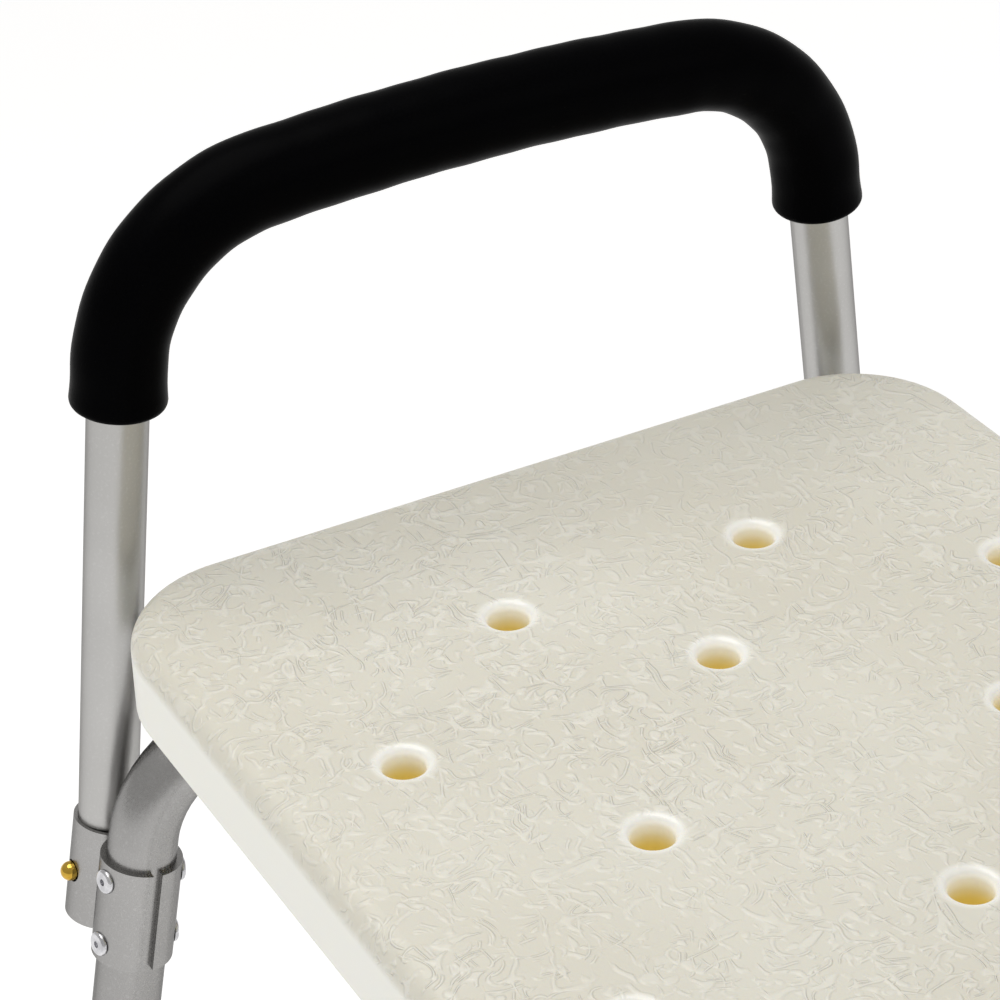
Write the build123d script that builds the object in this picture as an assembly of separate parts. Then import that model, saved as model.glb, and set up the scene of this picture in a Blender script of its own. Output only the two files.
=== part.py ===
from build123d import *
import os
from math import sin, cos, radians, sqrt

# Shower chair with two padded arms: millimetres, +Z up, front towards -Y.
# Origin: on the floor, under the centre of the seat.
# Left and right are those of the person sitting: the right arm is on -X.

# ---- driving dimensions ----
seat_width = 497.5
seat_depth = 291.0
seat_height = 443.0            # top of the seat with the legs at their rest hole
seat_thickness = 29.2
seat_corner_radius = 39.5
seat_top_round = 7.7
seat_bottom_round = 4.3
seat_wall = 2.8
seat_skin = 3.0

drain_bore_radius = 6.2
drain_lip_radius = 2.9         # rounding of each drain hole's mouth
drain_sleeve_wall = 2.3
inner_column_x = 62.2          # two holes each
inner_holes_y = 60.0
middle_column_x = 124.4        # three holes each, as on the centre line
middle_holes_y = 103.0
outer_column_x = 172.9         # two holes each
outer_holes_y = 42.9

rib_thickness = 2.4
rib_recess = 6.0               # ribs stop this far above the seat's lower rim
boss_radius = 6.0

frame_tube_od = 22.0
frame_tube_wall = 1.2
frame_tube_inset = 9.4         # side frame's centre line, in from the seat's side edge
frame_bend_radius = 36.0
leg_splay = 10.5               # degrees from vertical, seen from the side

rail_od = 15.9
rail_wall = 1.2
rail_inset_y = 60.5             # rail centre line, in from the seat's front or rear edge
rail_end_overhang = 12.0       # rail past the side frame's centre line
saddle_gap = 2.4               # saddle material left between rail and side frame
saddle_rim = 2.5               # saddle block past each side of the side frame's tube
saddle_round = 3.0
saddle_wrap = 3.5              # how far a saddle reaches past each tube's nearest point

arm_tube_od = 19.05
arm_tube_wall = 1.2
arm_splay = 6.6                # degrees from vertical, uprights lean together upwards
arm_crest = 116.3              # top of the arm's centre line, above the seat
arm_bend_radius = 54.5
arm_crown_radius = 841.0       # gentle crown of the hand rest
grip_wall = 4.875              # foam thickness
grip_end_height = 51.5         # lower ends of the grip, above the seat
grip_end_round = 2.2

bracket_length = 36.0
bracket_drop = 112.8           # bracket centre, below the seat's top
bracket_inset_y = 2.1          # bracket centre, in from the seat's front edge
bracket_gap = 3.075            # between the arm tube's skin and the leg tube's
socket_wall = 1.3
socket_clearance = 1.3         # radial room for the leaning arm tube
clamp_wall = 2.0
clamp_slit = 2.9
bracket_web = 7.7
arm_insert_end = 1.8           # arm tube stops this far inside the socket's lower end

rivet_spacing = 23.5
rivet_angle = 10.0             # degrees round from straight ahead, towards the seat
rivet_shank_radius = 2.0
rivet_head_radius = 4.0
rivet_head_height = 1.5
rivet_head_sink = 0.3          # rim of the flat-backed head below the clamp's crest
rivet_hole_radius = 1.1
rivet_hole_depth = 1.1
rivet_tail_radius = 2.8
rivet_tail_length = 1.9

button_radius = 3.2
button_stand = 3.8             # button dome beyond the outer wall that it locks
button_hole_clearance = 0.3
button_outer_clearance = 0.5
button_flange_radius = 4.4
button_flange = 0.9
button_flush = 0.3             # pressed button sits this far below the inner tube's skin
spring_thickness = 0.5
spring_width = 5.0
spring_length = 30.0

leg_tube_end = 365.0           # lower end of the side frame's legs, below the seat's top
leg_hole_pitch = 19.0
leg_hole_count = 7
leg_rest_hole = 2              # counted down from the top hole
leg_last_hole = 20.0           # lowest hole above the leg tube's end
extension_clearance = 0.275    # radial room inside the leg tube
extension_wall = 1.2
extension_above_button = 25.0

collar_wall = 1.8
collar_length = 15.0
collar_lip = 3.0
collar_clearance = 0.1

foot_wall = 4.0
foot_height = 36.0
foot_base_radius = 19.0
foot_base_thickness = 5.0
foot_floor = 9.0               # rubber under the leg, along the leg
foot_rings = (7.6, 13.3)       # radii of the grooves in the sole
foot_groove_depth = 1.2
foot_groove_width = 2.0
foot_washer = 1.5
foot_washer_clearance = 0.2

bolt_radius = 2.5
bolt_head_radius = 4.6
bolt_head_height = 2.8
nut_across_flats = 8.0
nut_height = 5.0
nut_dome_height = 2.6
nut_dome_radius = 3.7
washer_radius = 5.4
washer_thickness = 1.0
screw_radius = 1.8
screw_head_radius = 3.8
screw_head_height = 2.3
screw_slot_width = 0.8
screw_slot_depth = 0.7
screw_in_boss = 13.0
screw_spacing = 150.0          # outer seat screws from the centre line

plug_insert = 12.0
plug_cap = 2.0

# ---- worked-out positions ----
frame_r = frame_tube_od / 2
frame_bore = frame_r - frame_tube_wall
arm_r = arm_tube_od / 2
arm_bore = arm_r - arm_tube_wall
rail_r = rail_od / 2
rail_bore = rail_r - rail_wall
extension_r = frame_bore - extension_clearance
extension_od = 2 * extension_r
extension_bore = extension_r - extension_wall
seat_bottom = seat_height - seat_thickness
rail_z = seat_bottom - rail_r
frame_z = rail_z - rail_r - saddle_gap - frame_r
frame_x = seat_width / 2 - frame_tube_inset
bracket_spacing = frame_r + bracket_gap + arm_r
arm_x = frame_x + bracket_spacing
rail_y = seat_depth / 2 - rail_inset_y
bracket_y = -(seat_depth / 2 - bracket_inset_y)
bracket_z = seat_height - bracket_drop
grip_r = arm_r + grip_wall
saddle_size = frame_tube_od + 2 * saddle_rim
socket_bore = arm_r + socket_clearance
socket_r = socket_bore + socket_wall
clamp_r = frame_r + clamp_wall

SIDES = {"right": -1, "left": 1}
ENDS = {"front": -1, "rear": 1}


def lean(angle):
    """Unit vector up a front leg or upright that leans back by angle degrees."""
    return Vector(0, sin(radians(angle)), cos(radians(angle)))


def front_of(angle):
    """Unit vector square to lean(angle), towards the front."""
    return Vector(0, -cos(radians(angle)), sin(radians(angle)))


leg_up = lean(leg_splay)
arm_up = lean(arm_splay)
clamp_centre = Vector(-frame_x, bracket_y, bracket_z)
socket_centre = Vector(-arm_x, bracket_y, bracket_z)


def leg_at(z):
    """Point on the right front leg's axis at a height."""
    return clamp_centre + leg_up * ((z - bracket_z) / leg_up.Z)


def arm_at(z):
    """Point on the right front arm upright's axis at a height."""
    return socket_centre + arm_up * ((z - bracket_z) / arm_up.Z)


def to_corner(shape, side, end):
    """Copy a right-front piece to another corner of the chair."""
    if side > 0:
        shape = mirror(shape, about=Plane.YZ)
    if end > 0:
        shape = mirror(shape, about=Plane.XZ)
    return shape


def rod(start, direction, radius, length):
    """Solid cylinder from a point along a direction."""
    return extrude(Plane(start, z_dir=direction) * Circle(radius), length)


def four_corners(shape):
    """Compound of one piece copied to all four corners."""
    return Compound([to_corner(shape, s, e) for s in SIDES.values() for e in ENDS.values()])


# ---- seat ----
def drain_points():
    points = [(x, y) for x in (-middle_column_x, 0, middle_column_x)
              for y in (-middle_holes_y, 0, middle_holes_y)]
    for column, hole in ((inner_column_x, inner_holes_y), (outer_column_x, outer_holes_y)):
        points += [(x, y) for x in (-column, column) for y in (-hole, hole)]
    return points


def screw_points():
    return [(x, y) for x in (-screw_spacing, 0, screw_spacing) for y in (-rail_y, rail_y)]


def drain_cutter(x, y):
    """Bore with a rounded funnel mouth."""
    top = seat_height
    outer = drain_bore_radius + drain_lip_radius
    with BuildPart() as cutter:
        with BuildSketch(Plane.XZ):
            with BuildLine():
                Line((0, top + 1), (outer, top + 1))
                Line((outer, top + 1), (outer, top))
                ThreePointArc(
                    (outer, top),
                    (outer - drain_lip_radius * sin(radians(45)),
                     top - drain_lip_radius * (1 - cos(radians(45)))),
                    (drain_bore_radius, top - drain_lip_radius))
                Line((drain_bore_radius, top - drain_lip_radius), (drain_bore_radius, seat_bottom - 1))
                Line((drain_bore_radius, seat_bottom - 1), (0, seat_bottom - 1))
                Line((0, seat_bottom - 1), (0, top + 1))
            make_face()
        revolve(axis=Axis.Z)
    return Pos(x, y, 0) * cutter.part


def build_seat():
    body = extrude(Pos(0, 0, seat_bottom) * RectangleRounded(seat_width, seat_depth, seat_corner_radius),
                   seat_thickness)
    body = fillet(body.faces().sort_by(Axis.Z)[-1].edges(), seat_top_round)
    body = fillet(body.faces().sort_by(Axis.Z)[0].edges(), min(seat_bottom_round, seat_wall * 0.9))
    inner_width = seat_width - 2 * seat_wall
    inner_depth = seat_depth - 2 * seat_wall
    cavity_height = seat_thickness - seat_skin
    cavity = extrude(Pos(0, 0, seat_bottom) * RectangleRounded(inner_width, inner_depth,
                                                               seat_corner_radius - seat_wall), cavity_height)
    cavity = fillet(cavity.faces().sort_by(Axis.Z)[-1].edges(), seat_top_round - seat_wall)
    rib_height = seat_thickness - seat_skin / 2 - rib_recess
    rib_z = seat_bottom + rib_recess + rib_height / 2
    rib_run_x = 2 * (frame_x - bolt_head_radius - rib_thickness)
    fill = [Pos(0, y, rib_z) * Box(rib_run_x, rib_thickness, rib_height) for y in (-rail_y, rail_y)]
    fill.append(Pos(0, 0, rib_z) * Box(seat_width - seat_wall, rib_thickness, rib_height))
    for x in (-middle_column_x, -inner_column_x, 0, inner_column_x, middle_column_x):
        fill.append(Pos(x, 0, rib_z) * Box(rib_thickness, seat_depth - seat_wall, rib_height))
    sleeve_radius = drain_bore_radius + drain_sleeve_wall
    sleeve_height = seat_thickness - seat_skin / 2
    for x, y in drain_points():
        fill.append(rod((x, y, seat_bottom), (0, 0, 1), sleeve_radius, sleeve_height))
    for x, y in screw_points():
        fill.append(rod((x, y, seat_bottom), (0, 0, 1), boss_radius, sleeve_height))
    seat = body - (cavity - fill)   # ribs and sleeves never reach past the rounded outside
    holes = [drain_cutter(x, y) for x, y in drain_points()]
    holes += [rod((x, y, seat_bottom - 1), (0, 0, 1), screw_radius, screw_in_boss + 1)
              for x, y in screw_points()]
    return seat - holes


# ---- rails, saddles and their fasteners ----
def rail_length():
    return 2 * (frame_x + rail_end_overhang)


def build_rail(end):
    half = rail_length() / 2
    y = end * rail_y
    rail = rod((-half, y, rail_z), (1, 0, 0), rail_r, 2 * half)
    cuts = [rod((-half, y, rail_z), (1, 0, 0), rail_bore, 2 * half)]
    cuts += [rod((s * frame_x, y, rail_z - rail_od), (0, 0, 1), bolt_radius, 2 * rail_od) for s in (-1, 1)]
    cuts += [rod((x, y, rail_z - rail_od), (0, 0, 1), screw_radius, 2 * rail_od)
             for x in (-screw_spacing, 0, screw_spacing)]
    return rail - cuts


def build_rail_plug():
    half = rail_length() / 2
    cap = rod((-half - plug_cap, -rail_y, rail_z), (1, 0, 0), rail_r, plug_cap)
    cap = fillet(cap.faces().sort_by(Axis.X)[0].edges(), plug_cap / 2)
    insert = rod((-half, -rail_y, rail_z), (1, 0, 0), rail_bore, plug_insert)
    bore = rod((-half, -rail_y, rail_z), (1, 0, 0), rail_bore - plug_cap, plug_insert)
    bolt_room = rod((-frame_x, -rail_y, rail_z - rail_od), (0, 0, 1), bolt_radius, 2 * rail_od)
    return cap + (insert - bore) - bolt_room


def build_saddle():
    low = frame_z + frame_r - saddle_wrap
    high = rail_z - rail_r + saddle_wrap
    block = Pos(-frame_x, -rail_y, (low + high) / 2) * Box(saddle_size, saddle_size, high - low)
    block = fillet(block.edges().filter_by(Axis.Z), saddle_round)
    cuts = [rod((-frame_x - saddle_size, -rail_y, rail_z), (1, 0, 0), rail_r, 2 * saddle_size),
            rod((-frame_x, -rail_y - saddle_size, frame_z), (0, 1, 0), frame_r, 2 * saddle_size),
            rod((-frame_x, -rail_y, low - 1), (0, 0, 1), bolt_radius, high - low + 2)]
    return block - cuts


def bolt_bottom():
    return frame_z - frame_r - washer_thickness - nut_height


def build_rail_bolt():
    top = rail_z + rail_r
    shank = rod((-frame_x, -rail_y, bolt_bottom()), (0, 0, 1), bolt_radius, top - bolt_bottom())
    head = rod((-frame_x, -rail_y, top), (0, 0, 1), bolt_head_radius, bolt_head_height)
    head = fillet(head.faces().sort_by(Axis.Z)[-1].edges(), bolt_head_height * 0.6)
    return shank + head


def build_rail_washer():
    z = frame_z - frame_r - washer_thickness
    disc = rod((-frame_x, -rail_y, z), (0, 0, 1), washer_radius, washer_thickness)
    return disc - rod((-frame_x, -rail_y, z), (0, 0, 1), bolt_radius, washer_thickness)


def build_rail_nut():
    z = bolt_bottom()
    hexagon = Pos(-frame_x, -rail_y, z) * RegularPolygon(nut_across_flats / 2, 6, major_radius=False)
    nut = extrude(hexagon, nut_height)
    dome = rod((-frame_x, -rail_y, z), (0, 0, -1), nut_dome_radius, nut_dome_height)
    dome = fillet(dome.faces().sort_by(Axis.Z)[0].edges(), nut_dome_height * 0.8)
    return nut + dome - rod((-frame_x, -rail_y, z), (0, 0, 1), bolt_radius, nut_height)


def build_seat_screw(x, y):
    low = rail_z - rail_r - washer_thickness
    shank = rod((x, y, low), (0, 0, 1), screw_radius, seat_bottom + screw_in_boss - low)
    head = rod((x, y, low), (0, 0, -1), screw_head_radius, screw_head_height)
    head = fillet(head.faces().sort_by(Axis.Z)[0].edges(), screw_head_height * 0.6)
    cross = Box(screw_head_radius * 1.2, screw_slot_width, 2 * screw_slot_depth)
    cross += Box(screw_slot_width, screw_head_radius * 1.2, 2 * screw_slot_depth)
    return shank + head - Pos(x, y, low - screw_head_height) * cross


def build_seat_screw_washer(x, y):
    low = rail_z - rail_r - washer_thickness
    disc = rod((x, y, low), (0, 0, 1), washer_radius, washer_thickness)
    return disc - rod((x, y, low), (0, 0, 1), screw_radius, washer_thickness)


# ---- side frames ----
def leg_tube_bottom():
    return seat_height - leg_tube_end


def leg_holes():
    """Centres of the height holes' axis points on the right front leg, top first."""
    low = leg_at(leg_tube_bottom()) + leg_up * leg_last_hole
    return [low + leg_up * (leg_hole_pitch * i) for i in reversed(range(leg_hole_count))]


def frame_path():
    low = leg_at(leg_tube_bottom())
    corner = leg_at(frame_z)
    return FilletPolyline(
        (low.X, low.Y, low.Z), (corner.X, corner.Y, corner.Z),
        (corner.X, -corner.Y, corner.Z), (low.X, -low.Y, low.Z), radius=frame_bend_radius)


def tube_along(path, radius, bore):
    start = path ^ 0
    face = start * (Circle(radius) - Circle(bore))
    return sweep(face, path=path, transition=Transition.ROUND)


def rivet_places():
    """Point on the leg's axis and outward direction of each rivet on the right front bracket."""
    places = []
    for along in (-rivet_spacing / 2, rivet_spacing / 2):
        base = clamp_centre + leg_up * along
        for facing in (1, -1):
            turn = radians(rivet_angle)
            out = front_of(leg_splay) * (facing * cos(turn)) + Vector(1, 0, 0) * sin(turn)
            places.append((base, out))
    return places


def build_side_frame(side):
    tube = tube_along(frame_path(), frame_r, frame_bore)
    button_hole = button_radius + button_outer_clearance
    cuts = []
    for end in ENDS.values():
        cuts += [to_corner(rod(p, front_of(leg_splay), button_hole, frame_tube_od), -1, end)
                 for p in leg_holes()]
        cuts += [to_corner(rod(p, out, rivet_shank_radius, frame_tube_od), -1, end)
                 for p, out in rivet_places()]
        cuts.append(rod((-frame_x, end * rail_y, frame_z - frame_tube_od), (0, 0, 1),
                        bolt_radius, 2 * frame_tube_od))
    return to_corner(tube - cuts, side, -1)


def build_leg_collar():
    """Plastic sleeve that closes the gap between leg and extension."""
    low = leg_at(leg_tube_bottom())
    start = low - leg_up * collar_lip
    outer = rod(start, leg_up, frame_r + collar_wall, collar_length + collar_lip)
    outer = fillet(outer.edges().filter_by(GeomType.CIRCLE), collar_wall * 0.45)
    cuts = [rod(low, leg_up, frame_r, collar_length + 1),
            rod(start - leg_up, leg_up, extension_r + collar_clearance, collar_lip + 2)]
    return outer - cuts


# ---- arm brackets ----
def bracket_plane():
    start = clamp_centre - leg_up * (bracket_length / 2)
    return Plane(start, x_dir=(1, 0, 0), z_dir=leg_up)


def build_bracket():
    """Socket for the arm beside a split clamp for the leg, one extrusion."""
    socket_at = Pos(-bracket_spacing, 0)
    profile = Circle(clamp_r) + socket_at * Circle(socket_r)
    profile += Pos(-bracket_spacing / 2, 0) * Rectangle(bracket_spacing / 2, bracket_web)
    profile -= Circle(frame_r)
    profile -= socket_at * Circle(socket_bore)
    profile -= Pos(clamp_r, 0) * Rectangle(clamp_r, clamp_slit)
    bracket = extrude(bracket_plane() * profile, bracket_length)
    cuts = [rod(p, out, rivet_shank_radius, 2 * clamp_r) for p, out in rivet_places()]
    cuts.append(rod(socket_centre, front_of(arm_splay), button_radius + button_outer_clearance, 2 * socket_r))
    return bracket - cuts


def build_rivet(base, out):
    """Blind rivet: domed head with the pulled stem's hole, shank and spread tail."""
    head_seat = clamp_r - rivet_head_sink
    head = rod(base + out * head_seat, out, rivet_head_radius, rivet_head_height)
    crown = head.edges().filter_by(GeomType.CIRCLE).sort_by(lambda e: (e.center() - base).dot(out))[-1]
    head = fillet(crown, rivet_head_height * 0.8)
    tail_start = frame_bore - rivet_tail_length
    shank = rod(base + out * tail_start, out, rivet_shank_radius, head_seat - tail_start + rivet_head_sink)
    tail = rod(base + out * tail_start, out, rivet_tail_radius, rivet_tail_length)
    stem_hole = rod(base + out * (head_seat + rivet_head_height), -out, rivet_hole_radius, rivet_hole_depth)
    outside = rod(base - leg_up * bracket_length / 2, leg_up, clamp_r, bracket_length)
    inside = rod(base - leg_up * bracket_length / 2, leg_up, frame_bore, bracket_length)
    body = head - outside + shank + (tail & inside)
    return body - stem_hole


# ---- arms ----
class ArmPath:
    """Centre line of the right arm: two uprights, two bends and a gently crowned top."""

    def __init__(self):
        self.up = Vector(0, arm_up.Y, arm_up.Z)
        inward = Vector(0, arm_up.Z, -arm_up.Y)
        crest_z = seat_height + arm_crest
        crown_centre = Vector(-arm_x, 0, crest_z - arm_crown_radius)
        base = socket_centre + inward * arm_bend_radius
        reach = arm_crown_radius - arm_bend_radius
        gap = base - crown_centre
        along = gap.dot(self.up)
        rise = -along + sqrt(along ** 2 - (gap.dot(gap) - reach ** 2))
        centre = base + self.up * rise
        self.bend_start = socket_centre + self.up * rise
        away = (centre - crown_centre).normalized()
        self.bend_end = centre + away * arm_bend_radius
        middle = ((self.bend_start - centre).normalized() + away).normalized()
        self.bend_middle = centre + middle * arm_bend_radius
        self.crest = Vector(-arm_x, 0, crest_z)

    def wire(self, start):
        """The whole line, from a point on the front upright to its mirror image."""
        def back(p):
            return Vector(p.X, -p.Y, p.Z)
        return Wire([
            Line(start, self.bend_start).edge(),
            ThreePointArc(self.bend_start, self.bend_middle, self.bend_end).edge(),
            ThreePointArc(self.bend_end, self.crest, back(self.bend_end)).edge(),
            ThreePointArc(back(self.bend_end), back(self.bend_middle), back(self.bend_start)).edge(),
            Line(back(self.bend_start), back(start)).edge()])


def build_arm_tube(side):
    low = socket_centre - arm_up * (bracket_length / 2 - arm_insert_end)
    tube = tube_along(ArmPath().wire(low), arm_r, arm_bore)
    hole = rod(socket_centre, front_of(arm_splay), button_radius + button_hole_clearance, arm_tube_od)
    tube -= [to_corner(hole, -1, end) for end in ENDS.values()]
    return to_corner(tube, side, -1)


def build_grip(side):
    low = arm_at(seat_height + grip_end_height)
    wire = ArmPath().wire(low)
    outer = sweep((wire ^ 0) * Circle(grip_r), path=wire, transition=Transition.ROUND)
    rims = outer.edges().filter_by(GeomType.CIRCLE).sort_by(Axis.Z)[:2]
    outer = fillet(rims, grip_end_round)
    core = sweep((wire ^ 0) * Circle(arm_r), path=wire, transition=Transition.ROUND)
    return to_corner(outer - core, side, -1)


# ---- snap buttons ----
def build_button(base, out, tube_bore, outer_r):
    """Domed pin on a flange, square to the tube that carries it."""
    tip = outer_r + button_stand
    flange_top = sqrt(tube_bore ** 2 - button_flange_radius ** 2) - button_hole_clearance
    pin = rod(base + out * (flange_top - button_flange / 2), out, button_radius,
              tip - button_radius - flange_top + button_flange / 2)
    dome = Pos(base + out * (tip - button_radius)) * Sphere(button_radius)
    flange = rod(base + out * (flange_top - button_flange), out, button_flange_radius, button_flange)
    return pin + dome + flange


def build_spring(base, up, out, tube_bore):
    """V-shaped leaf: one leaf behind the button, the other against the far wall, fold away from up."""
    flange_top = sqrt(tube_bore ** 2 - button_flange_radius ** 2) - button_hole_clearance
    front = flange_top - button_flange
    back = sqrt(tube_bore ** 2 - (spring_width / 2) ** 2) - button_hole_clearance
    plane = Plane(base, x_dir=out, z_dir=out.cross(up))
    half = spring_length - button_flange_radius
    t = spring_thickness
    outline = Polyline(
        (front, button_flange_radius), (front, 0), (0, -half), (-back, 0), (-back, button_flange_radius),
        (-back + t, button_flange_radius), (-back + t, 0), (0, -half + 3 * t), (front - t, 0),
        (front - t, button_flange_radius), close=True)
    return extrude(plane * make_face(outline), spring_width / 2, both=True)


def arm_button_travel():
    return socket_r + button_stand - arm_r + button_flush


def leg_button_travel():
    return frame_r + button_stand - extension_r + button_flush


# ---- leg extensions and feet ----
def rest_hole():
    return leg_holes()[leg_rest_hole]


def floor_point():
    """Where the right front leg's axis meets the floor."""
    return leg_at(0)


def build_extension():
    top = rest_hole() + leg_up * extension_above_button
    bottom = floor_point() + leg_up * (foot_floor + foot_washer)
    length = (top - bottom).length
    tube = rod(bottom, leg_up, extension_r, length) - rod(bottom, leg_up, extension_bore, length)
    hole = rod(rest_hole(), front_of(leg_splay), button_radius + button_hole_clearance, extension_od)
    return tube - hole


def build_foot():
    foot = floor_point()
    outer_r = extension_r + foot_wall
    sleeve = rod(foot - leg_up * foot_height / 2, leg_up, outer_r, foot_height * 1.5)
    sleeve = fillet(sleeve.faces().sort_by(Axis.Z)[-1].edges(), foot_wall * 0.4)
    middle = foot + leg_up * foot_floor
    skirt = Pos(middle.X, foot.Y + leg_up.Y * foot_base_thickness, foot_base_thickness) * Cone(
        foot_base_radius, outer_r, foot_floor, align=(Align.CENTER, Align.CENTER, Align.MIN))
    base = Pos(foot.X, foot.Y + leg_up.Y * foot_base_thickness, 0) * Cylinder(
        foot_base_radius, foot_base_thickness, align=(Align.CENTER, Align.CENTER, Align.MIN))
    under = Pos(foot.X, foot.Y, -foot_height) * Box(4 * foot_base_radius, 4 * foot_base_radius, 2 * foot_height)
    tip = sleeve + skirt + base - under
    tip -= rod(foot + leg_up * foot_floor, leg_up, extension_r, foot_height * 2)
    groove_at = Pos(foot.X, foot.Y + leg_up.Y * foot_base_thickness, 0)
    for radius in foot_rings:
        ring = Cylinder(radius + foot_groove_width / 2, 2 * foot_groove_depth)
        tip -= groove_at * (ring - Cylinder(radius - foot_groove_width / 2, 2 * foot_groove_depth))
    return tip


def build_foot_washer():
    start = floor_point() + leg_up * foot_floor
    return rod(start, leg_up, extension_r - foot_washer_clearance, foot_washer)


# ---- write every node ----
def nodes():
    parts = {"seat": build_seat(),
             "front_rail": build_rail(-1),
             "rear_rail": build_rail(1),
             "rail_end_plugs": four_corners(build_rail_plug()),
             "rail_saddles": four_corners(build_saddle()),
             "rail_bolts": four_corners(build_rail_bolt()),
             "rail_washers": four_corners(build_rail_washer()),
             "rail_nuts": four_corners(build_rail_nut()),
             "seat_screws": Compound([build_seat_screw(x, y) for x, y in screw_points()]),
             "seat_screw_washers": Compound([build_seat_screw_washer(x, y) for x, y in screw_points()]),
             "leg_collars": four_corners(build_leg_collar()),
             "bracket_rivets": Compound([to_corner(build_rivet(p, out), s, e) for p, out in rivet_places()
                                         for s in SIDES.values() for e in ENDS.values()]),
             "arm_button_springs": four_corners(
                 build_spring(socket_centre, -arm_up, front_of(arm_splay), arm_bore))}
    bracket = build_bracket()
    arm_button = build_button(socket_centre, front_of(arm_splay), arm_bore, socket_r)
    leg_button = build_button(rest_hole(), front_of(leg_splay), extension_bore, frame_r)
    leg_spring = build_spring(rest_hole(), leg_up, front_of(leg_splay), extension_bore)
    extension = build_extension()
    foot = build_foot()
    washer = build_foot_washer()
    for side_name, side in SIDES.items():
        parts[f"{side_name}_side_frame"] = build_side_frame(side)
        parts[f"{side_name}_arm_tube"] = build_arm_tube(side)
        parts[f"{side_name}_arm_grip"] = build_grip(side)
        for end_name, end in ENDS.items():
            corner = f"{side_name}_{end_name}"
            parts[f"{corner}_arm_bracket"] = to_corner(bracket, side, end)
            parts[f"{corner}_arm_button"] = to_corner(arm_button, side, end)
            parts[f"{corner}_leg_extension"] = to_corner(extension, side, end)
            parts[f"{corner}_leg_button"] = to_corner(leg_button, side, end)
            parts[f"{corner}_leg_button_spring"] = to_corner(leg_spring, side, end)
            parts[f"{corner}_foot"] = to_corner(foot, side, end)
            parts[f"{corner}_foot_washer"] = to_corner(washer, side, end)
    return parts


def main():
    os.makedirs("parts", exist_ok=True)
    for name, shape in nodes().items():
        export_step(shape, f"parts/{name}.step")
    print("seat height range:",
          round(seat_height - leg_rest_hole * leg_hole_pitch * leg_up.Z),
          round(seat_height + (leg_hole_count - 1 - leg_rest_hole) * leg_hole_pitch * leg_up.Z))
    print("button travel, arm and leg:", round(arm_button_travel(), 2), round(leg_button_travel(), 2))


main()
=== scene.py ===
import bpy
from math import asin, cos, pi, radians, sin, sqrt
from mathutils import Matrix, Vector


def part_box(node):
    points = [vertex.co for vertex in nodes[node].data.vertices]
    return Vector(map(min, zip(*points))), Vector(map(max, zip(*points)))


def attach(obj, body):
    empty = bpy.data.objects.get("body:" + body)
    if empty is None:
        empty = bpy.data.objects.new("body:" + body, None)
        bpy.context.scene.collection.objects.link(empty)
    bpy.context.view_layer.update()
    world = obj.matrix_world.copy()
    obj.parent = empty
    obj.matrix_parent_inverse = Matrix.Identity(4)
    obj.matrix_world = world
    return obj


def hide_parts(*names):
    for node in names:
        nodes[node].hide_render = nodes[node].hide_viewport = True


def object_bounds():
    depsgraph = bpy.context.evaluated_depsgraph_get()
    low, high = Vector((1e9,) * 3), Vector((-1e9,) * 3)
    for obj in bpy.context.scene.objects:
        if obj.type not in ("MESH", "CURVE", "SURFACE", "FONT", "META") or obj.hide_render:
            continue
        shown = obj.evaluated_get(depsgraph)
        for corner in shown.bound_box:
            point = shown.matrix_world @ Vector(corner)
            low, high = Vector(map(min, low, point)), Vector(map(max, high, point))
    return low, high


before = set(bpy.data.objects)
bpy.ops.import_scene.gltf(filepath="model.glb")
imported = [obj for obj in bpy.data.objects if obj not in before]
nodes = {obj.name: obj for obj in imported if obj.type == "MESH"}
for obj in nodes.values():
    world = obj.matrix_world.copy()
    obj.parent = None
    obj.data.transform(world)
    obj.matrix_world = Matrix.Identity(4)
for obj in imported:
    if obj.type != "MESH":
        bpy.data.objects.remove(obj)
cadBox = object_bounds()
seatLow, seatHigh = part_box("seat")
print("frame loaded:", len(nodes), "nodes")


class Value:  # a shader socket that can be used in sums
    def __init__(self, shader, socket):
        self.shader = shader
        self.socket = socket

    def maths(self, operation, *values):
        return self.shader.add("Math", {"operation": operation}, dict(enumerate(values)))

    def __add__(self, other):
        return self.maths("ADD", self, other)

    def __sub__(self, other):
        return self.maths("SUBTRACT", self, other)

    def __rsub__(self, other):
        return self.maths("SUBTRACT", other, self)

    def __mul__(self, other):
        return self.maths("MULTIPLY", self, other)

    def __abs__(self):
        return self.maths("ABSOLUTE", self)

    __radd__ = __add__
    __rmul__ = __mul__

    def least(self, other):
        return self.maths("MINIMUM", self, other)

    def most(self, other):
        return self.maths("MAXIMUM", self, other)

    def root(self):
        return self.maths("SQRT", self)

    def fraction(self):
        return self.maths("FRACT", self)

    def step(self, low, high):  # 0 at low, 1 at high, smooth between
        sockets = {"Value": self, "From Min": low, "From Max": high}
        return self.shader.add("MapRange", {"interpolation_type": "SMOOTHSTEP"}, sockets)


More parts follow.
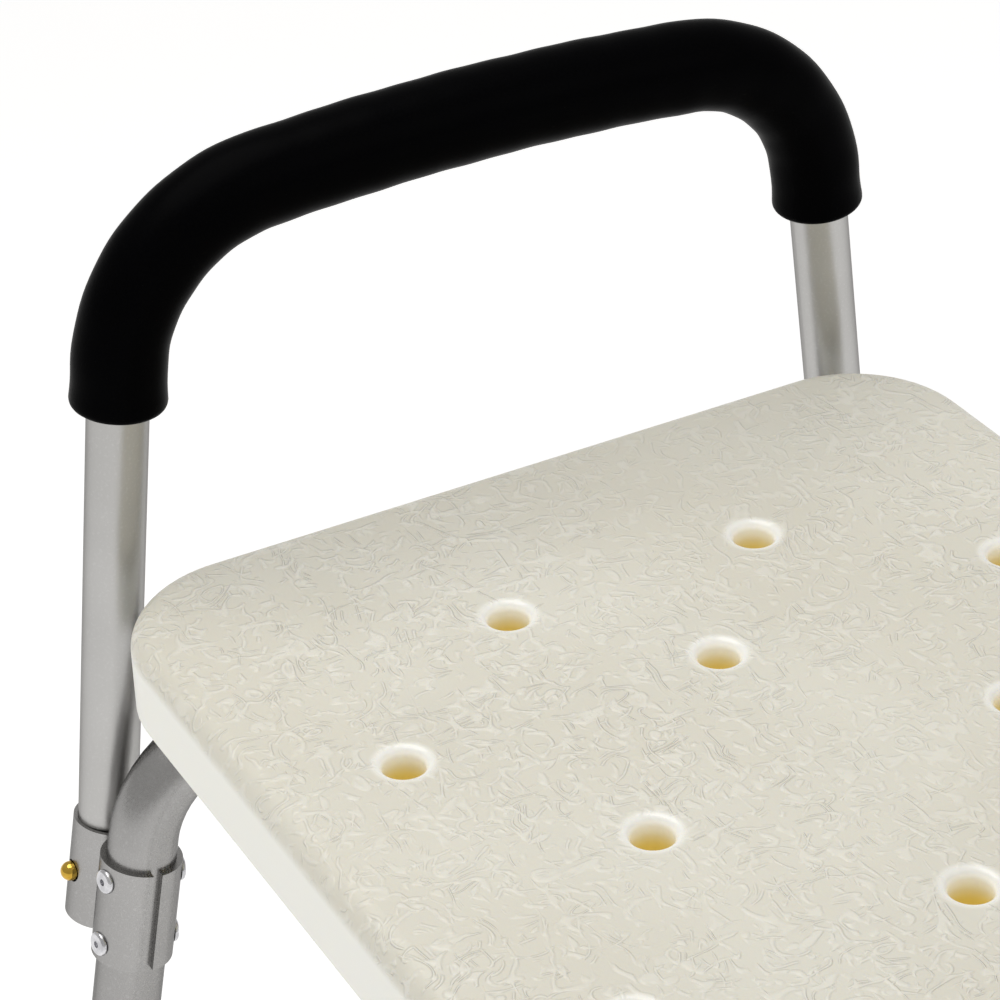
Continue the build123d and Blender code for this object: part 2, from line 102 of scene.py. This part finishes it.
class Shader:  # one material and its nodes
    def __init__(self, name):
        self.material = bpy.data.materials.new(name)
        self.material.use_nodes = True
        self.tree = self.material.node_tree
        self.tree.nodes.clear()
        self.place = self.add("TexCoord", out="Object")

    def add(self, kind, settings=None, sockets=None, out=0):
        node = self.tree.nodes.new("ShaderNode" + kind)
        for key, value in (settings or {}).items():
            setattr(node, key, value)
        for key, value in (sockets or {}).items():
            if isinstance(value, Value):
                self.tree.links.new(value.socket, node.inputs[key])
            else:
                node.inputs[key].default_value = value
        return Value(self, node.outputs[out])

    def axes(self):
        split = self.add("SeparateXYZ", sockets={"Vector": self.place})
        return [Value(self, socket) for socket in split.socket.node.outputs]

    def stretch(self, scale):
        return self.add("Mapping", sockets={"Vector": self.place, "Scale": scale})

    def noise(self, scale, detail=2.0, rough=0.5, at=None, bend=0.0):
        sockets = {"Vector": at or self.place, "Scale": scale, "Detail": detail,
                   "Roughness": rough, "Distortion": bend}
        return self.add("TexNoise", sockets=sockets)

    def blend(self, factor, first, second):  # between two colours
        return self.add("Mix", {"data_type": "RGBA"}, {0: factor, 6: first, 7: second}, out=2)

    def bump(self, height, distance):
        return self.add("Bump", sockets={"Height": height, "Distance": distance, "Strength": 1.0})

    def finish(self, **sockets):
        named = {key.replace("_", " "): value for key, value in sockets.items()}
        surface = self.add("BsdfPrincipled", sockets=named)
        end = self.tree.nodes.new("ShaderNodeOutputMaterial")
        self.tree.links.new(surface.socket, end.inputs["Surface"])
        return self.material


def colour(red, green, blue):
    return (red, green, blue, 1.0)


def paint(material, *nodeNames):
    for name in nodeNames:
        mesh = nodes[name].data
        mesh.materials.clear()
        mesh.materials.append(material)


def corners(part):  # the four nodes of a piece that sits at each corner
    return [f"{side}_{end}_{part}" for side in ("right", "left") for end in ("front", "rear")]


# Metals. Grain heights are in metres.
metalLooks = {
    "arm tube": {"light": (0.50, 0.495, 0.485), "dark": (0.45, 0.445, 0.435),
                 "rough": 0.34, "grain": 0.00004},
    "leg tube": {"light": (0.38, 0.375, 0.37), "dark": (0.335, 0.33, 0.325),
                 "rough": 0.28, "grain": 0.00003},
    "inner leg": {"light": (0.52, 0.52, 0.515), "dark": (0.46, 0.46, 0.455),
                  "rough": 0.24, "grain": 0.00003},
    "bracket": {"light": (0.40, 0.395, 0.39), "dark": (0.35, 0.345, 0.34),
                "rough": 0.27, "grain": 0.00003},
}


def satinAluminium(name, lineHeight=0.0):
    look = metalLooks[name]
    metal = Shader(name + " satin aluminium")
    cloud = metal.noise(14, 3, 0.6)                     # faint uneven anodising
    blast = metal.noise(2300, 3, 0.7)                   # fine blasted grain
    sparkle = metal.noise(1100, 2, 0.5)
    lines = metal.noise(1, 3, 0.6, metal.stretch((2400, 2400, 14)))
    base = metal.blend(cloud.step(0.3, 0.7), colour(*look["dark"]), colour(*look["light"]))
    # painted sparkle: random pale specks in the metal colour stand in for glints
    base = metal.blend(sparkle.step(0.5, 0.8) * 0.12, base, colour(0.85, 0.85, 0.86))
    rough = look["rough"] + (sparkle - 0.5) * 0.1 + (cloud - 0.5) * 0.1 + (lines - 0.5) * 0.1
    height = blast * 0.6 + sparkle * 0.4 + lines * lineHeight
    return metal.finish(Base_Color=base, Metallic=1.0, Roughness=rough,
                        Specular_Tint=colour(0.4, 0.4, 0.4), Normal=metal.bump(height, look["grain"]))


armMetal = satinAluminium("arm tube", 0.2)
legMetal = satinAluminium("leg tube", 0.2)
innerLegMetal = satinAluminium("inner leg", 0.8)        # rubbed lengthwise by the height setting
bracketMetal = satinAluminium("bracket", 0.9)           # faint extrusion lines
paint(armMetal, "right_arm_tube", "left_arm_tube")
paint(legMetal, "right_side_frame", "left_side_frame", "front_rail", "rear_rail")
paint(innerLegMetal, *corners("leg_extension"))
paint(bracketMetal, *corners("arm_bracket"))


brassLook = {"light": (0.78, 0.52, 0.10), "dark": (0.50, 0.30, 0.04), "rough": 0.07}


def polishedBrass():
    brass = Shader("polished brass")
    cloud = brass.noise(160, 3, 0.6)
    rub = brass.noise(1900, 2, 0.5)
    base = brass.blend(cloud.step(0.35, 0.75), colour(*brassLook["dark"]), colour(*brassLook["light"]))
    return brass.finish(Base_Color=base, Metallic=1.0, Roughness=brassLook["rough"] + rub * 0.08,
                        Normal=brass.bump(rub, 0.00002))


paint(polishedBrass(), *corners("arm_button"), *corners("leg_button"))


def brightSteel(name, light, dark, rough):
    steel = Shader(name)
    cloud = steel.noise(220, 4, 0.65)                   # plating that varies from spot to spot
    speck = steel.noise(2500, 2, 0.5)
    base = steel.blend(cloud.step(0.35, 0.7), colour(*dark), colour(*light))
    return steel.finish(Base_Color=base, Metallic=1.0, Roughness=rough + cloud * 0.12 + speck * 0.05,
                        Normal=steel.bump(speck + cloud, 0.00003))


rivetMetal = brightSteel("rivet aluminium", (0.72, 0.72, 0.74), (0.50, 0.50, 0.52), 0.10)
zincSteel = brightSteel("zinc plated steel", (0.74, 0.75, 0.74), (0.56, 0.56, 0.53), 0.24)
springSteel = brightSteel("spring steel", (0.58, 0.58, 0.60), (0.42, 0.42, 0.44), 0.26)
paint(rivetMetal, "bracket_rivets")
paint(zincSteel, "rail_bolts", "rail_washers", "rail_nuts", "seat_screws", "seat_screw_washers",
      *corners("foot_washer"))
paint(springSteel, "arm_button_springs", *corners("leg_button_spring"))
print("metals painted")


# Moulded plastic and rubber.
def greyPlastic():
    plastic = Shader("grey moulded plastic")
    cloud = plastic.noise(60, 3, 0.6)
    spark = plastic.noise(1500, 2, 0.6)                 # spark-eroded mould texture
    base = plastic.blend(cloud.step(0.3, 0.7), colour(0.17, 0.175, 0.18), colour(0.21, 0.215, 0.22))
    return plastic.finish(Base_Color=base, Roughness=0.42 + spark * 0.2,
                          Normal=plastic.bump(spark, 0.00008))


def footRubber():
    rubber = Shader("grey foot rubber")
    height = rubber.axes()[2]
    cloud = rubber.noise(45, 4, 0.6)
    pores = rubber.noise(1300, 3, 0.6)
    scuff = (1 - height.step(0.0, 0.007)) * rubber.noise(260, 3, 0.7).step(0.4, 0.7)
    base = rubber.blend(cloud.step(0.3, 0.7), colour(0.20, 0.20, 0.195), colour(0.25, 0.25, 0.24))
    base = rubber.blend(scuff * 0.6, base, colour(0.10, 0.10, 0.095))
    return rubber.finish(Base_Color=base, Roughness=0.62 + pores * 0.2,
                         Normal=rubber.bump(pores, 0.0001))


paint(greyPlastic(), "rail_end_plugs", "rail_saddles", "leg_collars")
paint(footRubber(), *corners("foot"))
print("plastic and rubber painted")


# The seat: ivory plastic with a worm-like leather grain on top, smooth sides and smooth drain mouths.
seatLook = {
    # side is paler than the top: partly the smooth band, partly painted light on the rounded edges
    "pale": (0.70, 0.685, 0.605), "deep": (0.665, 0.645, 0.56), "side": (0.90, 0.895, 0.83),
    # amber, boreWall and glow paint the light that shines through the thin bore walls
    "mouth": (0.90, 0.895, 0.85), "amber": (0.76, 0.61, 0.17), "boreWall": (0.80, 0.75, 0.60), "glow": 0.13,
    "edgeRound": 0.0077, "boreRadius": 0.0062, "lip": 0.0029,
    "strokeSize": 62, "strokeBreak": 150, "strokeHeight": 0.00036,
    "strokeLayers": [(9, 0.27, (1, 1, 1)), (8, 0.25, (1.6, 0.8, 1.3)), (8, 0.24, (0.75, 1.5, 0.8))],
}
# mirrored to all four quarters
drainHoles = [(0, 0), (0, 0.103), (0.0622, 0.060), (0.1244, 0), (0.1244, 0.103), (0.1729, 0.0429)]


def seatPlastic():
    look = seatLook
    seat = Shader("ivory seat plastic")
    x, y, z = seat.axes()
    depth = seatHigh.z - z
    across, along = abs(x), abs(y)

    nearest = None
    for holeX, holeY in drainHoles:
        dx, dy = across - holeX, along - holeY
        gap = (dx * dx + dy * dy).root()
        nearest = gap if nearest is None else nearest.least(gap)

    mouth = 1 - nearest.step(look["boreRadius"] + look["lip"] * 0.3, look["boreRadius"] + look["lip"] * 1.5)
    inBore = 1 - nearest.step(look["boreRadius"] + 0.0002, look["boreRadius"] + 0.0008)
    deep = inBore * depth.step(look["lip"] * 0.8, look["lip"] * 3.6)
    topside = 1 - depth.step(look["edgeRound"] * 0.55, look["edgeRound"] * 1.15)

    # raised strokes: many thin contour lines of a soft noise, broken into short lengths by a second one
    def strokes(levels, width, at):
        wander = seat.noise(look["strokeSize"], 1.0, 0.4, at, 0.25)
        wave = abs((wander * levels).fraction() - 0.5)
        broken = seat.noise(look["strokeBreak"], 1.0, 0.5, at).step(0.47, 0.60)
        return (1 - wave.step(width * 0.2, width)) * broken

    grain = None
    for levels, width, scale in look["strokeLayers"]:
        layer = strokes(levels, width, seat.stretch(scale))
        grain = layer if grain is None else grain.most(layer)
    wear = seat.noise(7, 2, 0.5).step(0.3, 0.7)
    grain = grain * (0.55 + wear * 0.45) * topside * (1 - mouth)
    fine = seat.noise(900, 2, 0.5)
    swell = seat.noise(16, 2, 0.5)                      # slow unevenness of a blown wall

    base = seat.blend(seat.noise(11, 3, 0.6).step(0.3, 0.7), colour(*look["deep"]), colour(*look["pale"]))
    # paler sides and rounded edges: partly the smooth ungrained band, partly painted light on the edges
    base = seat.blend(topside, colour(*look["side"]), base)
    # painted highlight: the raised strokes are lightened in colour as if they catch the light
    base = seat.blend(grain * 0.26, base, colour(*look["mouth"]))
    base = seat.blend(mouth * topside, base, colour(*look["mouth"]))
    # painted light: the bores turn amber with depth and glow, standing in for light through the thin wall
    base = seat.blend(deep, base, colour(*look["amber"]))
    glow = seat.blend(deep, colour(0.0, 0.0, 0.0), colour(*look["amber"]))   # painted glow, standing in for light through the thin wall
    glow = seat.blend(inBore * (1 - deep), glow, colour(*look["boreWall"]))
    rough = 0.36 - grain * 0.08 - mouth * 0.16 + (fine - 0.5) * 0.1 + (1 - topside) * 0.04
    height = grain + fine * 0.08 * topside + swell * 1.2
    return seat.finish(Base_Color=base, Roughness=rough, Subsurface_Weight=0.12,
                       Subsurface_Radius=(0.006, 0.0045, 0.0025), Subsurface_Scale=1.0,
                       Emission_Color=glow, Emission_Strength=look["glow"],
                       Normal=seat.bump(height, look["strokeHeight"]))


paint(seatPlastic(), "seat")
print("seat painted")


# Foam grips, swept along the arm's centre line.
gripLook = {
    "radius": 0.0144, "bore": 0.00958, "endRound": 0.0024, "flare": 0.0004, "flareLength": 0.0086,
    "splay": radians(6.6), "bendRadius": 0.0545, "crownRadius": 0.841,
    "ringSpacing": 0.0025, "sides": 72, "roundSteps": 6,
    "tint": (0.0007, 0.0007, 0.0009), "skin": (0.0012, 0.0012, 0.0015), "rough": 0.34,
}


def blackFoam():
    foam = Shader("black foam")
    cloud = foam.noise(40, 3, 0.6)
    skin = foam.noise(1400, 3, 0.65)                    # closed-cell skin
    dimple = foam.noise(420, 2, 0.5)
    base = foam.blend(skin.step(0.3, 0.8), colour(*gripLook["tint"]), colour(*gripLook["skin"]))
    rough = gripLook["rough"] + (skin - 0.5) * 0.16 + (cloud - 0.5) * 0.08
    return foam.finish(Base_Color=base, Roughness=rough, IOR=1.06,
                       Normal=foam.bump(skin * 0.6 + dimple * 0.4, 0.00006))


foamMaterial = blackFoam()


def turned(vector, angle):  # in the plane of y and z, from z towards y
    c, s = cos(angle), sin(angle)
    return Vector((vector.x * c + vector.y * s, vector.y * c - vector.x * s))


def armLine(side):  # places and directions along the grip's centre line, as y and z, from its front end
    look = gripLook
    tubeLow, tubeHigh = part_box(side + "_arm_tube")
    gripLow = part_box(side + "_arm_grip")[0]
    tubeRadius = (tubeHigh.x - tubeLow.x) / 2
    up = turned(Vector((0, 1)), look["splay"])
    inward = Vector((up.y, -up.x))
    slope = 2 * tubeRadius * up.x + 0.0003
    points = [v.co for v in nodes[side + "_arm_tube"].data.vertices]
    ends = [p for p in points if p.y < 0 and p.z < tubeLow.z + slope]
    foot = Vector((sum(p.y for p in ends), sum(p.z for p in ends))) / len(ends)
    start = foot + up * ((gripLow.z + look["radius"] * up.x - foot.y) / up.y)

    # the bend touches both the upright and the long flat arc of the hand rest
    crown = Vector((0, tubeHigh.z - tubeRadius - look["crownRadius"]))
    gap = foot + inward * look["bendRadius"] - crown
    reach = look["crownRadius"] - look["bendRadius"]
    rise = -gap.dot(up) + sqrt(gap.dot(up) ** 2 - gap.dot(gap) + reach ** 2)
    bendStart = foot + up * rise
    centre = bendStart + inward * look["bendRadius"]
    outward = (centre - crown).normalized()
    bendTurn = outward.angle(-inward)
    crownTurn = asin(-outward.x)

    line = []
    steps = round((bendStart - start).length / look["ringSpacing"])
    line += [(start.lerp(bendStart, i / steps), up) for i in range(steps)]
    steps = round(look["bendRadius"] * bendTurn / look["ringSpacing"])
    for i in range(steps):
        angle = bendTurn * i / steps
        line.append((centre + turned(-inward, angle) * look["bendRadius"], turned(up, angle)))
    steps = round(look["crownRadius"] * crownTurn / look["ringSpacing"])
    for i in range(steps + 1):
        spoke = turned(outward, crownTurn * i / steps)
        line.append((crown + spoke * look["crownRadius"], turned(spoke, pi / 2)))
    line += [(Vector((-p.x, p.y)), Vector((d.x, -d.y))) for p, d in reversed(line[:-1])]
    return line, (tubeLow.x + tubeHigh.x) / 2


def foamGrip(side):
    look = gripLook
    line, middleX = armLine(side)
    rounding = [pi / 2 * i / look["roundSteps"] for i in range(look["roundSteps"])]
    rings = []                                          # place, direction, radius

    def endRings(place, heading, sign):
        made = [(place, heading, look["radius"] + look["flare"] - look["endRound"])]
        for turn in rounding[1:]:
            back = look["endRound"] * (1 - cos(turn))
            radius = look["radius"] + look["flare"] - look["endRound"] * (1 - sin(turn))
            made.append((place + heading * (sign * back), heading, radius))
        return made

    rings += endRings(*line[0], 1)
    distance = 0
    total = sum((b[0] - a[0]).length for a, b in zip(line, line[1:]))
    for before, (place, heading) in zip(line, line[1:-1]):
        distance += (place - before[0]).length
        nearEnd = min(distance, total - distance)
        if nearEnd < look["endRound"]:
            continue
        flare = look["flare"] * max(0, 1 - (nearEnd - look["endRound"]) / look["flareLength"]) ** 2
        ripple = 0.00008 * sin(distance * 170) + 0.00006 * sin(distance * 411 + 1.3)
        rings.append((place, heading, look["radius"] + flare + ripple))
    rings += reversed(endRings(*line[-1], -1))
    rings += [(place, heading, look["bore"]) for place, heading in reversed(line)]

    points, faces = [], []
    sides = look["sides"]
    for place, heading, radius in rings:
        across = Vector((heading.y, -heading.x))
        for k in range(sides):
            turn = 2 * pi * k / sides
            spot = place + across * (radius * cos(turn))
            points.append((middleX + radius * sin(turn), spot.x, spot.y))
    count = len(rings)
    for i in range(count):                              # out along the skin, back along the bore
        j = (i + 1) % count
        for k in range(sides):
            n = (k + 1) % sides
            faces.append((i * sides + k, i * sides + n, j * sides + n, j * sides + k))
    return points, faces


for side in ("right", "left"):
    points, faces = foamGrip(side)
    mesh = bpy.data.meshes.new(side + "_foam_grip")
    mesh.from_pydata(points, [], faces)
    mesh.polygons.foreach_set("use_smooth", [True] * len(faces))
    mesh.materials.append(foamMaterial)
    mesh.update()
    grip = bpy.data.objects.new(side + "_foam_grip", mesh)
    bpy.context.scene.collection.objects.link(grip)
    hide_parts(side + "_arm_grip")
    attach(grip, "frame")
print("foam grips made")


# Floor, lights and camera. Angles in degrees, distances in metres.
floorLook = {"size": 60.0, "tint": 0.93, "glow": 0.46}
skyLook = {"tint": (1.0, 0.99, 0.975), "strength": 0.54}
lamps = {
    "key": {"azimuth": -60, "elevation": 66, "distance": 0.78, "size": 0.7,
            "watts": 3.6, "tint": (1.0, 0.99, 0.97)},
    "fill": {"azimuth": 120, "elevation": 38, "distance": 2.6, "size": 1.6,
             "watts": 5, "tint": (1.0, 0.98, 0.95)},
}
shot = {"azimuth": 61.96, "elevation": 32.16, "roll": -1.70, "distance": 1.0476, "lens": 121.08,
        "fromRightEdge": 0.01866, "fromFrontEdge": 0.13145}


def awayTowards(azimuth, elevation):  # unit vector from the object to whoever looks at it
    a, e = radians(azimuth), radians(elevation)
    return Vector((sin(a) * cos(e), -cos(a) * cos(e), sin(e)))


def makeFloor():
    floor = Shader("pale floor")
    cloud = floor.noise(1.3, 2, 0.5)
    tint = floorLook["tint"]
    base = floor.blend(cloud, colour(tint - 0.01, tint - 0.01, tint - 0.01), colour(tint, tint, tint))
    material = floor.finish(Base_Color=base, Roughness=0.9, Specular_IOR_Level=0.1,
                            Emission_Color=colour(1, 1, 1), Emission_Strength=floorLook["glow"])
    half = floorLook["size"] / 2
    mesh = bpy.data.meshes.new("floor")
    outline = [(-half, -half, 0), (half, -half, 0), (half, half, 0), (-half, half, 0)]
    mesh.from_pydata(outline, [], [(0, 1, 2, 3)])
    mesh.materials.append(material)
    plane = bpy.data.objects.new("floor", mesh)
    plane.location.z = cadBox[0].z - 0.0002
    bpy.context.scene.collection.objects.link(plane)


def makeLamp(name, look, target):
    lamp = bpy.data.lights.new(name, "AREA")
    lamp.shape = "DISK"
    lamp.size = look["size"]
    lamp.energy = look["watts"]
    lamp.color = look["tint"]
    holder = bpy.data.objects.new(name, lamp)
    away = awayTowards(look["azimuth"], look["elevation"])
    holder.location = target + away * look["distance"]
    holder.rotation_mode = "QUATERNION"
    holder.rotation_quaternion = away.to_track_quat("Z", "Y")
    bpy.context.scene.collection.objects.link(holder)


def makeCamera():
    camera = bpy.data.objects.new("camera", bpy.data.cameras.new("camera"))
    camera.data.lens = shot["lens"]
    camera.data.sensor_width = 36
    camera.data.clip_start = 0.05
    target = Vector((seatLow.x + shot["fromRightEdge"], seatLow.y + shot["fromFrontEdge"], seatHigh.z))
    back = awayTowards(shot["azimuth"], shot["elevation"])
    right = Vector((0, 0, 1)).cross(back).normalized()
    up = back.cross(right)
    roll = radians(shot["roll"])
    rolledRight = right * cos(roll) + up * sin(roll)
    rolledUp = up * cos(roll) - right * sin(roll)
    turn = Matrix((rolledRight, rolledUp, back)).transposed()
    camera.matrix_world = Matrix.Translation(target + back * shot["distance"]) @ turn.to_4x4()
    bpy.context.scene.collection.objects.link(camera)
    bpy.context.scene.camera = camera


makeFloor()
seatMiddle = Vector((0, 0, seatHigh.z))
for name, look in lamps.items():
    makeLamp(name, look, seatMiddle)
makeCamera()
sky = bpy.data.worlds.new("studio")
sky.use_nodes = True
sky.node_tree.nodes["Background"].inputs["Color"].default_value = colour(*skyLook["tint"])
sky.node_tree.nodes["Background"].inputs["Strength"].default_value = skyLook["strength"]
bpy.context.scene.world = sky
bpy.context.scene.view_settings.view_transform = "Standard"
print("floor, lights and camera made")
